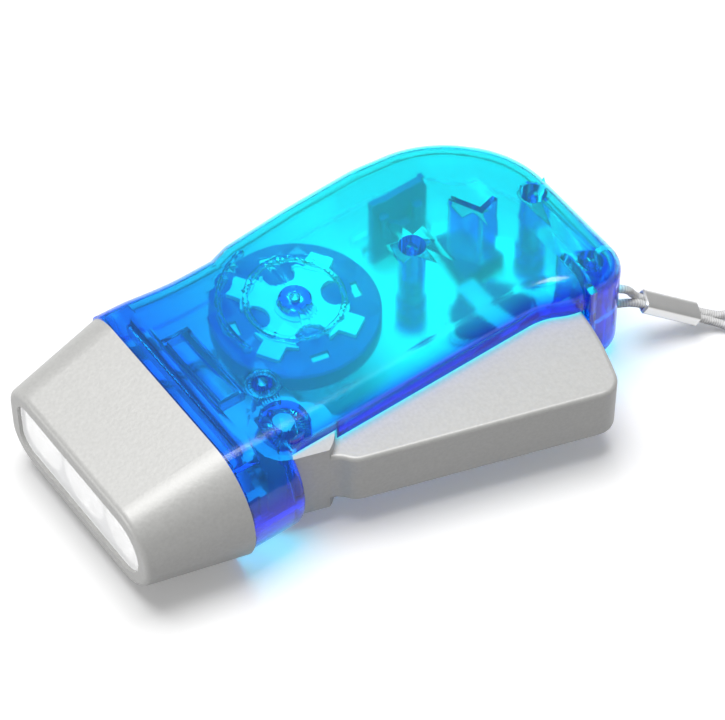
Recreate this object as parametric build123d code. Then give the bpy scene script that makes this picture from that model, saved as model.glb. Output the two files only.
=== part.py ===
from build123d import *
from math import acos, asin, atan2, ceil, cos, degrees, hypot, inf, pi, radians, sin, sqrt, tan
import os

# Squeeze-lever dynamo flashlight, in millimetres. It lies on its lower shell: +Z is up, the lamp
# end points along -X, the squeeze lever is on the -Y side and stands open, as it does at rest.

# ---- driving dimensions -------------------------------------------------------------------

# housing, in plan and in height
FRONT_X = -53.1
BEZEL_X = -33.2
TAIL_X = 52.9
BACK_Y = 31.6
RIM_Y = -13.1
TAIL_NEAR_Y = -16.0
BODY_TOP = 26.6
BEZEL_TOP = 27.0
MID_Z = 13.5
WALL = 2.0
EDGE_RADIUS = 5.0
HUMP_RADIUS = 21.0
TAIL_CORNER = 6.0
COLUMN_X = -21.4
COLUMN_NEAR_GAP = 0.6

# lamp end: a flat-topped oval that shrinks towards the front
BEZEL_NEAR_Y = -18.4
BEZEL_FAR_Y = 33.1
FRONT_NEAR_Y = -14.0
FRONT_FAR_Y = 30.4
FRONT_HALF = 9.3
BEZEL_NOSE = 12.0
FRONT_NOSE = 8.6
BEZEL_CORNER = 7.5
FRONT_CORNER = 6.5
BEZEL_WALL = 1.8
NECK_CLEARANCE = 0.15
NECK_WALL = 1.5
NECK_FRONT_X = -41.0
LIP = 1.6
LIP_INSET = 2.9
LENS_THICK = 1.5

# lever, drawn shut and then opened about its trunnions
PIVOT = (-19.6, -7.8)
OPEN_ANGLE = 17.6
LEVER_REACH = 61.3
LEVER_OUTER = 8.3
LEVER_LOW = 7.2
LEVER_HIGH = 19.5
BLOCK_OUTER = 6.3
BLOCK_RADIUS = 9.0
BLOCK_LOW = 5.0
BLOCK_HIGH = 22.0
LEVER_WALL = 2.0
TRUNNION = 2.0
TRUNNION_HOLE = 2.05
LEVER_GAP = 0.4

# gear train: one module throughout, tooth counts from the lever to the flywheel
MODULE = 0.5
SECTOR_TEETH = 26
FIRST_PINION = 10
FIRST_WHEEL = 38
SECOND_PINION = 8
SECOND_WHEEL = 36
LAST_PINION = 10
FIRST_AXIS = (-17.9, 1.1)
FLYWHEEL_AXIS = (-2.0, 13.5)
AXLE = 1.0
GEAR_BORE = 1.05
AXLE_HOLE = 1.02

# generator
FLYWHEEL_RADIUS = 15.75
FLYWHEEL_LOW = 17.6
FLYWHEEL_HIGH = 20.6
STATOR_RADIUS = 8.7
STATOR_LOW = 7.2
STATOR_HIGH = 15.4
MAGNET_RADIUS = 5.0
CLAWS = 6

# screw bosses: x, y, radius
BOSSES = [(22.4, 11.0, 2.55), (47.9, 8.0, 2.4), (46.6, -10.6, 2.2)]
BOSS_JOINT_Z = 9.5
SCREW_RADIUS = 1.0
SCREW_HEAD = 2.1

# lamps
LAMP_Y = (-5.3, 8.1, 21.5)
LED_RADIUS = 2.5

# wrist cord: one loop of cord through the eye in the tail corner and a crimped sleeve
CORD = 1.6
EYE_CENTRE = (46.8, -10.0)
EYE_ANGLE = -35.0
EYE_RADIUS = 3.5
SLEEVE_START = (56.6, -14.7, 10.2)
SLEEVE_END = (66.4, -19.4, 3.9)
COIL_CENTRE = (85.0, -31.5)
COIL_OUTER = 11.2
COIL_PITCH = 2.1
COIL_TURNS = 4.5
COIL_FLOOR = 0.85
COIL_LAYER = 2.05
COIL_HEADING = -33.0

PARTS = {}


def mix(start, end, share):
    return start + (end - start) * share


def along(centre, radius, angle):
    """Point at a distance and a direction in degrees from a centre in plan."""
    return (centre[0] + radius * cos(radians(angle)), centre[1] + radius * sin(radians(angle)))


def drum(centre, radius, low, high):
    return Pos(centre[0], centre[1], (low + high) / 2) * Cylinder(radius, high - low)


def pipe(centre, outer, inner, low, high):
    return drum(centre, outer, low, high) - drum(centre, inner, low - 1, high + 1)


def block(x0, x1, y0, y1, z0, z1):
    return Pos((x0 + x1) / 2, (y0 + y1) / 2, (z0 + z1) / 2) * Box(x1 - x0, y1 - y0, z1 - z0)


def prism(face, low, high):
    return Pos(0, 0, low) * extrude(face, high - low, dir=(0, 0, 1))


def pie(centre, radius, start, end, low, high):
    """Sector of a disc between two directions in degrees."""
    arc = ThreePointArc(
        along(centre, radius, start), along(centre, radius, (start + end) / 2), along(centre, radius, end)
    )
    sides = Line(centre, arc @ 0) + Line(arc @ 1, centre)
    return prism(make_face(arc + sides), low, high)


def wall_along(points, thickness, low, high):
    """Straight walls of one thickness that follow a list of plan points."""
    walls = None
    for (x0, y0), (x1, y1) in zip(points, points[1:]):
        length = hypot(x1 - x0, y1 - y0)
        turn = degrees(atan2(y1 - y0, x1 - x0))
        piece = Pos((x0 + x1) / 2, (y0 + y1) / 2, (low + high) / 2) * Rot(0, 0, turn) * Box(
            length + thickness, thickness, high - low
        )
        walls = piece if walls is None else walls + piece
    return walls


# ---- lamp end -----------------------------------------------------------------------------


def lamp_section(x, inset):
    """Oval of the lamp end at x: flat above and below, half an ellipse on the lever side."""
    share = (x - BEZEL_X) / (FRONT_X - BEZEL_X)
    near = mix(BEZEL_NEAR_Y, FRONT_NEAR_Y, share) + inset
    far = mix(BEZEL_FAR_Y, FRONT_FAR_Y, share) - inset
    half = mix(MID_Z, FRONT_HALF, share) - inset
    nose = mix(BEZEL_NOSE, FRONT_NOSE, share) - inset
    corner = mix(BEZEL_CORNER, FRONT_CORNER, share) - inset
    top = MID_Z + half
    bottom = MID_Z - half
    outline = [
        Line((near + nose, bottom), (far - corner, bottom)),
        CenterArc((far - corner, bottom + corner), corner, -90, 90),
        Line((far, bottom + corner), (far, top - corner)),
        CenterArc((far - corner, top - corner), corner, 0, 90),
        Line((far - corner, top), (near + nose, top)),
        EllipticalCenterArc((near + nose, MID_Z), nose, half, 90, arc_size=90),
        EllipticalCenterArc((near + nose, MID_Z), nose, half, 180, arc_size=90),
    ]
    return Plane(origin=(x, 0, 0), x_dir=(0, 1, 0), z_dir=(1, 0, 0)) * make_face(outline)


def lamp_loft(x0, x1, inset0, inset1=None):
    sections = [lamp_section(x0, inset0), lamp_section(x1, inset0 if inset1 is None else inset1)]
    return loft(sections, ruled=True)


def nose_bezel():
    """Satin grey sleeve round the lamp end, with two snap tabs that reach back into the shells."""
    body = lamp_loft(BEZEL_X, FRONT_X, 0)
    front_edges = body.edges().group_by(Axis.X)[0]
    body = fillet(front_edges, 1.3)
    hollow = lamp_loft(BEZEL_X + 0.5, FRONT_X + LIP, BEZEL_WALL)
    mouth = lamp_loft(FRONT_X - 0.5, FRONT_X + LIP + 0.5, LIP_INSET)
    body = body - hollow - mouth
    for side, reach, root, outer, inner in ((1, -23.5, 31.0, 28.0, 26.6), (-1, -27.6, -15.6, -12.9, -11.5)):
        lower, upper = sorted((outer, inner))
        tab = block(NECK_FRONT_X - 3.0, reach, lower, upper, 10.5, 16.5)
        root_low, root_high = sorted((root, inner))
        tab += block(NECK_FRONT_X - 3.0, NECK_FRONT_X - 0.4, root_low, root_high, 10.5, 16.5)
        hook_low, hook_high = sorted((outer - 0.2 * side, outer + 0.5 * side))
        tab += block(reach - 1.5, reach, hook_low, hook_high, 10.5, 16.5)
        body += tab & lamp_loft(BEZEL_X + 12, FRONT_X, BEZEL_WALL - 0.5)
    return body


def lens():
    """Clear window with a raised rim step that rests against the lip of the bezel."""
    back = FRONT_X + LIP + LENS_THICK
    plate = lamp_loft(back, FRONT_X + LIP, BEZEL_WALL + 0.1)
    step = lamp_loft(FRONT_X + LIP, FRONT_X + 0.7, LIP_INSET + 0.1)
    return plate + step


def reflector():
    """Front plate with three curved cups, one for each lamp."""
    front = FRONT_X + LIP + LENS_THICK
    depth = 7.8
    body = lamp_loft(front + 1.2, front, BEZEL_WALL + 0.25)
    cups = None
    for y in LAMP_Y:
        for wall, kind in ((0.9, "outside"), (0.0, "inside")):
            mouth = 6.3 + wall
            throat = LED_RADIUS + 0.15 + wall
            start = 0.0 if kind == "outside" else -0.5
            curve = ThreePointArc((mouth, 0), (mix(mouth, throat, 0.36), depth * 0.5), (throat, depth))
            profile = [
                curve,
                Line((throat, depth), (throat, depth + 0.01)) if kind == "outside" else None,
            ]
            profile = [edge for edge in profile if edge is not None]
            end = (profile[-1] @ 1)
            profile += [
                Line(end, (0, end.Y)),
                Line((0, end.Y), (0, start)),
                Line((0, start), (mouth, start)),
            ]
            if start:
                profile.append(Line((mouth, start), (mouth, 0)))
            plane = Plane(origin=(front, y, MID_Z), x_dir=(0, 1, 0), z_dir=(0, 0, -1))
            solid = revolve(plane * make_face(profile), Axis((front, y, MID_Z), (1, 0, 0)), 360)
            if kind == "outside":
                body += solid
            else:
                cups = solid if cups is None else cups + solid
    holes = None
    for y in LAMP_Y:
        bore = Pos(front + depth, y, MID_Z) * Rot(0, 90, 0) * Cylinder(LED_RADIUS + 0.15, 2)
        holes = bore if holes is None else holes + bore
    return body - cups - holes


LED_BASE_X = -40.3
BOARD_X = -38.4
BOARD_THICK = 1.4


def led(y):
    """Five millimetre lamp with its collar and two leads through the board."""
    axis = Pos(LED_BASE_X, y, MID_Z) * Rot(0, -90, 0)
    collar = axis * Pos(0, 0, 0.5) * Cylinder(2.9, 1.0)
    flat = axis * Pos(0, -3.3, 0.5) * Box(6, 1.0, 1.2)
    barrel = axis * Pos(0, 0, 3.1) * Cylinder(LED_RADIUS, 4.6)
    dome = axis * Pos(0, 0, 5.4) * Sphere(LED_RADIUS)
    body = collar - flat + barrel + dome
    for offset in (-1.27, 1.27):
        end = BOARD_X + BOARD_THICK + 0.8
        lead = Pos((LED_BASE_X + end) / 2, y + offset, MID_Z) * Rot(0, 90, 0) * Cylinder(
            0.25, end - LED_BASE_X
        )
        body += lead
    return body


def led_board():
    board = block(BOARD_X, BOARD_X + BOARD_THICK, -10.0, 26.2, 7.2, 19.8)
    for y in LAMP_Y:
        for offset in (-1.27, 1.27):
            board -= Pos(BOARD_X, y + offset, MID_Z) * Rot(0, 90, 0) * Cylinder(0.3, 8)
    return board


# ---- housing ------------------------------------------------------------------------------

HUMP_CENTRE = (TAIL_X - HUMP_RADIUS, BACK_Y - 0.5 - HUMP_RADIUS)
CORNER_CENTRE = (TAIL_X - TAIL_CORNER, TAIL_NEAR_Y + TAIL_CORNER)


def body_outline():
    """Plan of the shells: straight rim over the lever, round tail, low bulge round the flywheel."""
    rim_end = 31.0
    flare_end = 42.5
    middle = ((rim_end + flare_end) / 2, (RIM_Y + TAIL_NEAR_Y) / 2)
    back = HUMP_CENTRE[1] + HUMP_RADIUS
    first = TangentArc((rim_end, RIM_Y), middle, tangent=(1, 0))
    second = TangentArc(middle, (flare_end, TAIL_NEAR_Y), tangent=first % 1)
    return make_face(
        [
            Line((BEZEL_X, RIM_Y), (rim_end, RIM_Y)),
            first,
            second,
            Line((flare_end, TAIL_NEAR_Y), (CORNER_CENTRE[0], TAIL_NEAR_Y)),
            CenterArc(CORNER_CENTRE, TAIL_CORNER, -90, 90),
            Line((TAIL_X, CORNER_CENTRE[1]), (TAIL_X, HUMP_CENTRE[1])),
            CenterArc(HUMP_CENTRE, HUMP_RADIUS, 0, 90),
            Line((HUMP_CENTRE[0], back), (-5.0, BACK_Y)),
            Line((-5.0, BACK_Y), (-9.0, BACK_Y - 0.9)),
            Line((-9.0, BACK_Y - 0.9), (BEZEL_X, BACK_Y)),
            Line((BEZEL_X, BACK_Y), (BEZEL_X, RIM_Y)),
        ]
    )


def rounded_slab(face, low, high, radius):
    slab = prism(face, low, high)
    level = slab.edges().filter_by(lambda e: e.bounding_box().size.Z < 0.01)
    rounded = level.filter_by(lambda e: e.center().X > BEZEL_X + WALL + 0.01)
    return fillet(rounded, radius)


def column_section(inset, top, bottom):
    """Rounded section of the short column between the bezel and the lever."""
    near = BEZEL_NEAR_Y + COLUMN_NEAR_GAP + inset
    nose = BEZEL_NOSE - inset
    middle = (top + bottom) / 2
    half = (top - bottom) / 2
    outline = [
        Line((2.0, bottom), (2.0, top)),
        Line((2.0, top), (near + nose, top)),
        EllipticalCenterArc((near + nose, middle), nose, half, 90, arc_size=180),
        Line((near + nose, bottom), (2.0, bottom)),
    ]
    return make_face(outline)


def column(x0, x1, inset, top, bottom):
    plane = Plane(origin=(x0, 0, 0), x_dir=(0, 1, 0), z_dir=(1, 0, 0))
    return extrude(plane * column_section(inset, top, bottom), x1 - x0, dir=(1, 0, 0))


def shell_walls():
    """Both shells in one: the outer form less the hollow, with the neck that enters the bezel."""
    outline = body_outline()
    outer = rounded_slab(outline, 0.0, BODY_TOP, EDGE_RADIUS)
    post = column(BEZEL_X, COLUMN_X, 0, BODY_TOP, 0.0)
    rear = post.edges().filter_by(lambda e: e.center().X > COLUMN_X - 0.01)
    post = fillet(rear.filter_by(lambda e: e.center().Y < RIM_Y), 1.6)
    outer += post
    inner = rounded_slab(offset(outline, -WALL), WALL, BODY_TOP - WALL, EDGE_RADIUS - WALL)
    inner += block(BEZEL_X - 1, BEZEL_X + 6, RIM_Y + WALL, 28.6, WALL, BODY_TOP - WALL)
    inner += column(BEZEL_X - 1, COLUMN_X - WALL, WALL, BODY_TOP - WALL, WALL)
    neck_inset = BEZEL_WALL + NECK_CLEARANCE
    neck = lamp_loft(BEZEL_X + 1.0, NECK_FRONT_X, neck_inset)
    bore = lamp_loft(BEZEL_X + 3.0, NECK_FRONT_X - 1.0, neck_inset + NECK_WALL)
    walls = outer - inner + neck - bore
    return walls


def lever_window():
    """Room that the lever sweeps through the near wall, from open to shut."""
    low = LEVER_LOW - LEVER_GAP
    high = LEVER_HIGH + LEVER_GAP
    reach = pie(PIVOT, LEVER_REACH + 0.6, -45, 25, low, high)
    slot = reach & block(COLUMN_X, TAIL_X, -40, RIM_Y + 10, low, high)
    hub = drum(PIVOT, BLOCK_OUTER + 0.35, BLOCK_LOW - LEVER_GAP, BLOCK_HIGH + LEVER_GAP)
    notch = drum(PIVOT, BLOCK_RADIUS + 0.4, BLOCK_LOW - LEVER_GAP, BLOCK_HIGH + LEVER_GAP)
    notch &= block(COLUMN_X, 0, -40, PIVOT[1], 0, BODY_TOP)
    return slot + hub + notch


def eye_windows():
    """Two openings in the tail corner, one above the other, with a bar left between them."""
    windows = None
    for low, high in ((9.8, 12.4), (14.6, 17.2)):
        middle = along(EYE_CENTRE, TAIL_CORNER, EYE_ANGLE)
        hole = Pos(middle[0], middle[1], (low + high) / 2) * Rot(0, 0, EYE_ANGLE) * Box(
            6.0, 2.6, high - low
        )
        windows = hole if windows is None else windows + hole
    relief = drum(EYE_CENTRE, 4.8, 9.6, 17.4) & pie(EYE_CENTRE, 9, EYE_ANGLE - 22, EYE_ANGLE + 22, 9, 18)
    return windows + relief


def upper_ribs():
    """What stands down from the ceiling of the upper shell."""
    ceiling = BODY_TOP - WALL
    root = ceiling + 0.5
    ribs = None
    for x, y, radius in BOSSES:
        boss = drum((x, y), radius, BOSS_JOINT_Z, root)
        ribs = boss if ribs is None else ribs + boss
    ribs += wall_along([BOSSES[1][:2], (TAIL_X - 1.0, BOSSES[1][1] + 1.5)], 1.0, 14.0, root)
    ribs += wall_along([BOSSES[2][:2], (TAIL_X - 1.0, BOSSES[2][1] + 1.8)], 1.0, 18.5, root)
    ribs += drum(FIRST_AXIS, 1.85, 17.4, root)
    ribs += pipe(FIRST_AXIS, 3.3, 2.8, ceiling - 0.5, root)
    ribs += drum(PIVOT, 4.5, BLOCK_HIGH + LEVER_GAP, root)
    ribs += drum(FLYWHEEL_AXIS, 3.0, FLYWHEEL_HIGH + 2.7, root)
    ribs += pipe(FLYWHEEL_AXIS, 9.4, 8.5, ceiling - 0.8, root)
    guard = pipe(FLYWHEEL_AXIS, 14.2, 13.4, ceiling - 1.2, root)
    ribs += guard & pie(FLYWHEEL_AXIS, 20, 95, 200, ceiling - 2, root)
    ribs += wall_along([(35.1, 15.5), (37.7, 10.4), (41.1, 11.2)], 1.2, BOSS_JOINT_Z, root)
    pocket = [(-26.7, 1.9), (-21.7, 1.9), (-21.7, 18.9), (-26.7, 18.9), (-26.7, 1.9)]
    ribs += wall_along(pocket, 0.8, ceiling - 2.4, root)
    ribs += wall_along([(-29.6, -7.0), (-29.6, 24.5)], 1.0, ceiling - 3.5, root)
    return ribs


def slot_end(low, high):
    """Curved rib that closes the tail end of the lever slot."""
    ring = pipe(PIVOT, LEVER_REACH + 2.2, LEVER_REACH + 0.7, low, high)
    return ring & pie(PIVOT, 80, -8.6, 1.5, low, high)


def board_rib(low, high):
    """Ledge inside the neck that the lamp board leans on."""
    x = BOARD_X + BOARD_THICK
    inset = BEZEL_WALL + NECK_CLEARANCE + NECK_WALL - 0.3
    return block(x, x + 1.0, -20, 40, low, high) & lamp_loft(BEZEL_X + 3.0, NECK_FRONT_X, inset)


def upper_shell(walls):
    shell = walls & block(-70, 70, -40, 50, MID_Z, 40)
    shell += upper_ribs() + slot_end(MID_Z, BODY_TOP - WALL + 0.5) + board_rib(18.6, 26)
    for x, y, radius in BOSSES:
        shell -= drum((x, y), SCREW_RADIUS, BOSS_JOINT_Z - 1, BODY_TOP - 3.0)
    shell -= drum(FIRST_AXIS, AXLE_HOLE, 17, BODY_TOP - 1.2)
    shell -= drum(PIVOT, TRUNNION_HOLE, BLOCK_HIGH, BODY_TOP - 1.6)
    shell -= drum(spring_leg(SPRING_TOP_ANGLE, SPRING_BEND), 0.5, BLOCK_HIGH, BODY_TOP - 2.2)
    shell -= drum(FLYWHEEL_AXIS, AXLE + 0.04, FLYWHEEL_HIGH, BODY_TOP - 1.2)
    return shell - lever_window() - eye_windows()


def lower_shell(walls):
    shell = walls & block(-70, 70, -40, 50, -5, MID_Z)
    floor = WALL - 0.5
    posts = None
    for x, y, radius in BOSSES:
        post = drum((x, y), 2.9, floor, BOSS_JOINT_Z)
        posts = post if posts is None else posts + post
    posts += drum(FIRST_AXIS, 1.6, floor, 7.0)
    posts += drum(PIVOT, 4.5, floor, BLOCK_LOW - LEVER_GAP)
    posts += drum(SECOND_AXIS, 2.2, floor, 3.1)
    posts += drum(FLYWHEEL_AXIS, 2.4, floor, 2.9)
    cradle = pipe(FLYWHEEL_AXIS, 9.2, 7.6, floor, STATOR_LOW)
    posts += cradle & pie(FLYWHEEL_AXIS, 20, -80, 10, floor, STATOR_LOW)
    posts += cradle & pie(FLYWHEEL_AXIS, 20, 25, 105, floor, STATOR_LOW)
    posts += wall_along([(24.0, 25.2), (37.5, 25.2)], 1.0, floor, 6.0)
    posts += wall_along([(24.0, 28.5), (37.0, 28.5)], 1.0, floor, 6.0)
    cell_ring = pipe(CELL_CENTRE, CELL_RADIUS + 1.2, CELL_RADIUS + 0.2, floor, 4.4)
    posts += cell_ring - pie(CELL_CENTRE, 20, 60, 120, 0, 8) - pie(CELL_CENTRE, 20, -120, -60, 0, 8)
    shell += posts + slot_end(floor, MID_Z) + board_rib(1, 8.4)
    for x, y, radius in BOSSES:
        shell -= drum((x, y), SCREW_HEAD + 0.2, -1, 4.5)
        shell -= drum((x, y), SCREW_RADIUS + 0.15, 4, BOSS_JOINT_Z + 1)
    shell -= drum(FIRST_AXIS, AXLE, 1.0, 8)
    shell -= drum(SECOND_AXIS, AXLE, 1.0, 4)
    shell -= drum(PIVOT, TRUNNION_HOLE, 1.8, BLOCK_LOW)
    shell -= drum(FLYWHEEL_AXIS, AXLE + 0.04, 1.0, 4)
    return shell - lever_window() - eye_windows()


def case_screws():
    """Three self-tapping screws with cross-slotted heads, driven from below."""
    screws = []
    for x, y, radius in BOSSES:
        screw = drum((x, y), SCREW_RADIUS, 4.5, 16.0) + drum((x, y), SCREW_HEAD, 2.7, 4.5)
        for turn in (0, 90):
            screw -= Pos(x, y, 3.0) * Rot(0, 0, turn) * Box(2.6, 0.5, 0.8)
        screws.append(screw.solid())
    return Compound(children=screws)


# ---- gears --------------------------------------------------------------------------------

SECOND_RADIUS = MODULE * (FIRST_WHEEL + SECOND_PINION) / 2
LAST_RADIUS = MODULE * (SECOND_WHEEL + LAST_PINION) / 2


def meeting_axis(first, second, reach_first, reach_second):
    """Axis that lies at two given distances from two others, on the back side."""
    dx = second[0] - first[0]
    dy = second[1] - first[1]
    span = hypot(dx, dy)
    forward = (span**2 + reach_first**2 - reach_second**2) / (2 * span)
    side = sqrt(reach_first**2 - forward**2)
    return (
        first[0] + (dx * forward - dy * side) / span,
        first[1] + (dy * forward + dx * side) / span,
    )


SECOND_AXIS = meeting_axis(FIRST_AXIS, FLYWHEEL_AXIS, SECOND_RADIUS, LAST_RADIUS)
PRESSURE = radians(22)
BACKLASH = 0.035
ADDENDUM = 0.82
DEDENDUM = 1.1


def heading(first, second):
    return degrees(atan2(second[1] - first[1], second[0] - first[0]))


def involute(angle):
    return tan(angle) - angle


def gear_face(teeth, tooth_at):
    """Spur gear with involute flanks and one tooth centred on the direction tooth_at."""
    pitch_radius = MODULE * teeth / 2
    base = pitch_radius * cos(PRESSURE)
    root = pitch_radius - DEDENDUM * MODULE
    tip = pitch_radius + ADDENDUM * MODULE
    half_tooth = (0.5 - BACKLASH) * pi / teeth
    start = max(base, root)
    levels = [mix(start, tip, share) for share in (0, 0.35, 0.7, 1)]
    flank = []
    if root < base:
        flank.append((root, half_tooth + involute(PRESSURE)))
    for radius in levels:
        flank.append((radius, half_tooth + involute(PRESSURE) - involute(acos(min(1, base / radius)))))
    points = []
    for tooth in range(teeth):
        middle = tooth_at + 360 * tooth / teeth
        for radius, half in flank:
            points.append(along((0, 0), radius, middle - degrees(half)))
        for radius, half in reversed(flank):
            points.append(along((0, 0), radius, middle + degrees(half)))
    return make_face(Polyline(*points, close=True))


def gear(centre, teeth, tooth_at, low, high):
    return Pos(centre[0], centre[1], 0) * prism(gear_face(teeth, tooth_at), low, high)


FIRST_REACH = hypot(FIRST_AXIS[0] - PIVOT[0], FIRST_AXIS[1] - PIVOT[1])


def sector_gear():
    """Toothed quadrant fixed under the top plate of the lever, in mesh with the first pinion."""
    facing = heading(PIVOT, FIRST_AXIS)
    wheel = gear(PIVOT, SECTOR_TEETH, facing, 12.6, 17.0)
    quadrant = wheel & pie(PIVOT, 20, facing - OPEN_ANGLE - 22, facing + 20, 12, 18)
    quadrant += drum(PIVOT, 3.6, 12.6, 17.0)
    quadrant += pie(PIVOT, 5.6, facing - OPEN_ANGLE - 20, facing + 18, 16.9, LEVER_HIGH - LEVER_WALL)
    return quadrant


def first_gear():
    """Small pinion turned by the lever, in one piece with a large wheel."""
    body = gear(FIRST_AXIS, FIRST_PINION, heading(FIRST_AXIS, PIVOT) + 180 / FIRST_PINION, 11.5, 17.0)
    body += gear(FIRST_AXIS, FIRST_WHEEL, heading(FIRST_AXIS, SECOND_AXIS), 9.7, 11.5)
    body += drum(FIRST_AXIS, 2.4, 7.3, 9.7)
    return body - drum(FIRST_AXIS, GEAR_BORE, 0, 30)


def second_gear():
    """Second compound gear: its wheel runs low, under the stator, and turns the last pinion."""
    pinion_at = heading(SECOND_AXIS, FIRST_AXIS) + 180 / SECOND_PINION
    body = gear(SECOND_AXIS, SECOND_PINION, pinion_at, 9.4, 11.9)
    body += gear(SECOND_AXIS, SECOND_WHEEL, heading(SECOND_AXIS, FLYWHEEL_AXIS), 3.4, 5.2)
    body += drum(SECOND_AXIS, 1.7, 5.2, 9.4)
    return body - drum(SECOND_AXIS, GEAR_BORE, 0, 30)


def ratchet(centre, count, inner, outer, low, height, upward):
    """Ring of saw teeth on a flat face, one half of a one-way clutch."""
    teeth = None
    span = 360 / count
    for index in range(count):
        start = index * span
        tooth = pie(centre, outer, start, start + span * 0.55, low, low + height)
        teeth = tooth if teeth is None else teeth + tooth
    return teeth - drum(centre, inner, low - 1, low + height + 1)


def drive_pinion():
    """Last pinion, free on the flywheel shaft, with the driving half of the one-way clutch."""
    tooth_at = heading(FLYWHEEL_AXIS, SECOND_AXIS) + 180 / LAST_PINION
    body = gear(FLYWHEEL_AXIS, LAST_PINION, tooth_at, 3.2, 5.4)
    body += drum(FLYWHEEL_AXIS, 1.7, 5.4, 5.8)
    body += ratchet(FLYWHEEL_AXIS, 6, 1.1, 1.7, 5.8, 0.4, True)
    return body - drum(FLYWHEEL_AXIS, GEAR_BORE, 0, 30)


def ratchet_crown():
    """Driven half of the clutch, pressed on the shaft just above the last pinion."""
    body = drum(FLYWHEEL_AXIS, 1.9, 6.8, 7.7)
    body += ratchet(FLYWHEEL_AXIS, 6, 1.1, 1.7, 6.4, 0.4, False)
    return body - drum(FLYWHEEL_AXIS, AXLE, 0, 30)


# ---- generator ----------------------------------------------------------------------------


HUB_ANGLE = 32.0
HUB_THICK = 1.9
STEM_REACH = 11.8
STEM_ANGLES = [HUB_ANGLE + 90 * quarter + turn for quarter in range(4) for turn in (0, 45)]


def flywheel_disc():
    """Heavy rim with a thin web, cut by four windows for the tabs of the hub."""
    disc = drum(FLYWHEEL_AXIS, FLYWHEEL_RADIUS, FLYWHEEL_LOW, FLYWHEEL_HIGH)
    disc -= pipe(FLYWHEEL_AXIS, 13.0, 3.4, FLYWHEEL_LOW - 1, FLYWHEEL_LOW + 1.4)
    disc = chamfer(disc.edges().group_by(Axis.Z)[-1], 0.4)
    for angle in STEM_ANGLES:
        x, y = along(FLYWHEEL_AXIS, STEM_REACH, angle)
        disc -= Pos(x, y, FLYWHEEL_HIGH) * Rot(0, 0, angle) * Box(1.6, 3.5, 5)
    return disc - drum(FLYWHEEL_AXIS, AXLE, 0, 30)


def flywheel_hub():
    """Pale cross on the disc, moulded through it: a ring below joins the stems that pass the web."""
    low = FLYWHEEL_HIGH
    high = FLYWHEEL_HIGH + HUB_THICK
    body = drum(FLYWHEEL_AXIS, 9.6, low, high)
    for quarter in range(4):
        angle = HUB_ANGLE + 45 + 90 * quarter
        body -= drum(along(FLYWHEEL_AXIS, 8.2, angle), 3.1, low - 1, high + 1)
    body -= pipe(FLYWHEEL_AXIS, 9.2, 8.6, high - 0.4, high + 1)
    for quarter in range(4):
        angle = HUB_ANGLE + 90 * quarter
        x, y = along(FLYWHEEL_AXIS, 11.0, angle)
        body += Pos(x, y, (low + high) / 2) * Rot(0, 0, angle) * Box(3.4, 4.4, high - low)
    web_low = FLYWHEEL_LOW + 1.4
    for angle in STEM_ANGLES:
        x, y = along(FLYWHEEL_AXIS, STEM_REACH, angle)
        body += Pos(x, y, (web_low + low) / 2 + 0.1) * Rot(0, 0, angle) * Box(1.4, 3.3, low - web_low + 0.2)
    body += pipe(FLYWHEEL_AXIS, 12.8, 10.8, web_low - 0.8, web_low)
    body += drum(FLYWHEEL_AXIS, 3.85, high, high + 0.5)
    return body - drum(FLYWHEEL_AXIS, AXLE, 0, 30)


def flywheel_shaft():
    shaft = drum(FLYWHEEL_AXIS, AXLE, 1.2, BODY_TOP - 1.4)
    return chamfer(shaft.edges(), 0.2)


def rotor_magnet():
    return pipe(FLYWHEEL_AXIS, MAGNET_RADIUS, AXLE, 8.2, FLYWHEEL_LOW)


def stator_cup(upper):
    """Pressed steel cup whose inner edge is bent into claws that reach past the coil."""
    middle = (STATOR_LOW + STATOR_HIGH) / 2
    cup = pipe(FLYWHEEL_AXIS, STATOR_RADIUS, STATOR_RADIUS - 0.5, STATOR_LOW, middle)
    cup += pipe(FLYWHEEL_AXIS, STATOR_RADIUS, MAGNET_RADIUS + 0.4, STATOR_LOW, STATOR_LOW + 0.6)
    claws = pipe(FLYWHEEL_AXIS, MAGNET_RADIUS + 0.9, MAGNET_RADIUS + 0.4, STATOR_LOW, STATOR_HIGH - 1.2)
    cut = 180 / CLAWS
    for index in range(CLAWS):
        start = index * 2 * cut
        cup += claws & pie(FLYWHEEL_AXIS, 20, start, start + cut * 0.8, STATOR_LOW, STATOR_HIGH)
    if not upper:
        return cup
    flipped = Pos(0, 0, STATOR_LOW + STATOR_HIGH) * mirror(cup, Plane.XY)
    home = Pos(*FLYWHEEL_AXIS, 0) * Rot(0, 0, cut) * Pos(-FLYWHEEL_AXIS[0], -FLYWHEEL_AXIS[1], 0)
    return home * flipped


def coil_bobbin():
    low = STATOR_LOW + 0.6
    high = STATOR_HIGH - 0.6
    inner = MAGNET_RADIUS + 1.0
    spool = pipe(FLYWHEEL_AXIS, inner + 0.5, inner, low, high)
    spool += pipe(FLYWHEEL_AXIS, STATOR_RADIUS - 0.55, inner, low, low + 0.5)
    spool += pipe(FLYWHEEL_AXIS, STATOR_RADIUS - 0.55, inner, high - 0.5, high)
    return spool


def coil_winding():
    inner = MAGNET_RADIUS + 1.5
    return pipe(FLYWHEEL_AXIS, STATOR_RADIUS - 0.8, inner, STATOR_LOW + 1.1, STATOR_HIGH - 1.1)


# ---- lever --------------------------------------------------------------------------------


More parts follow.
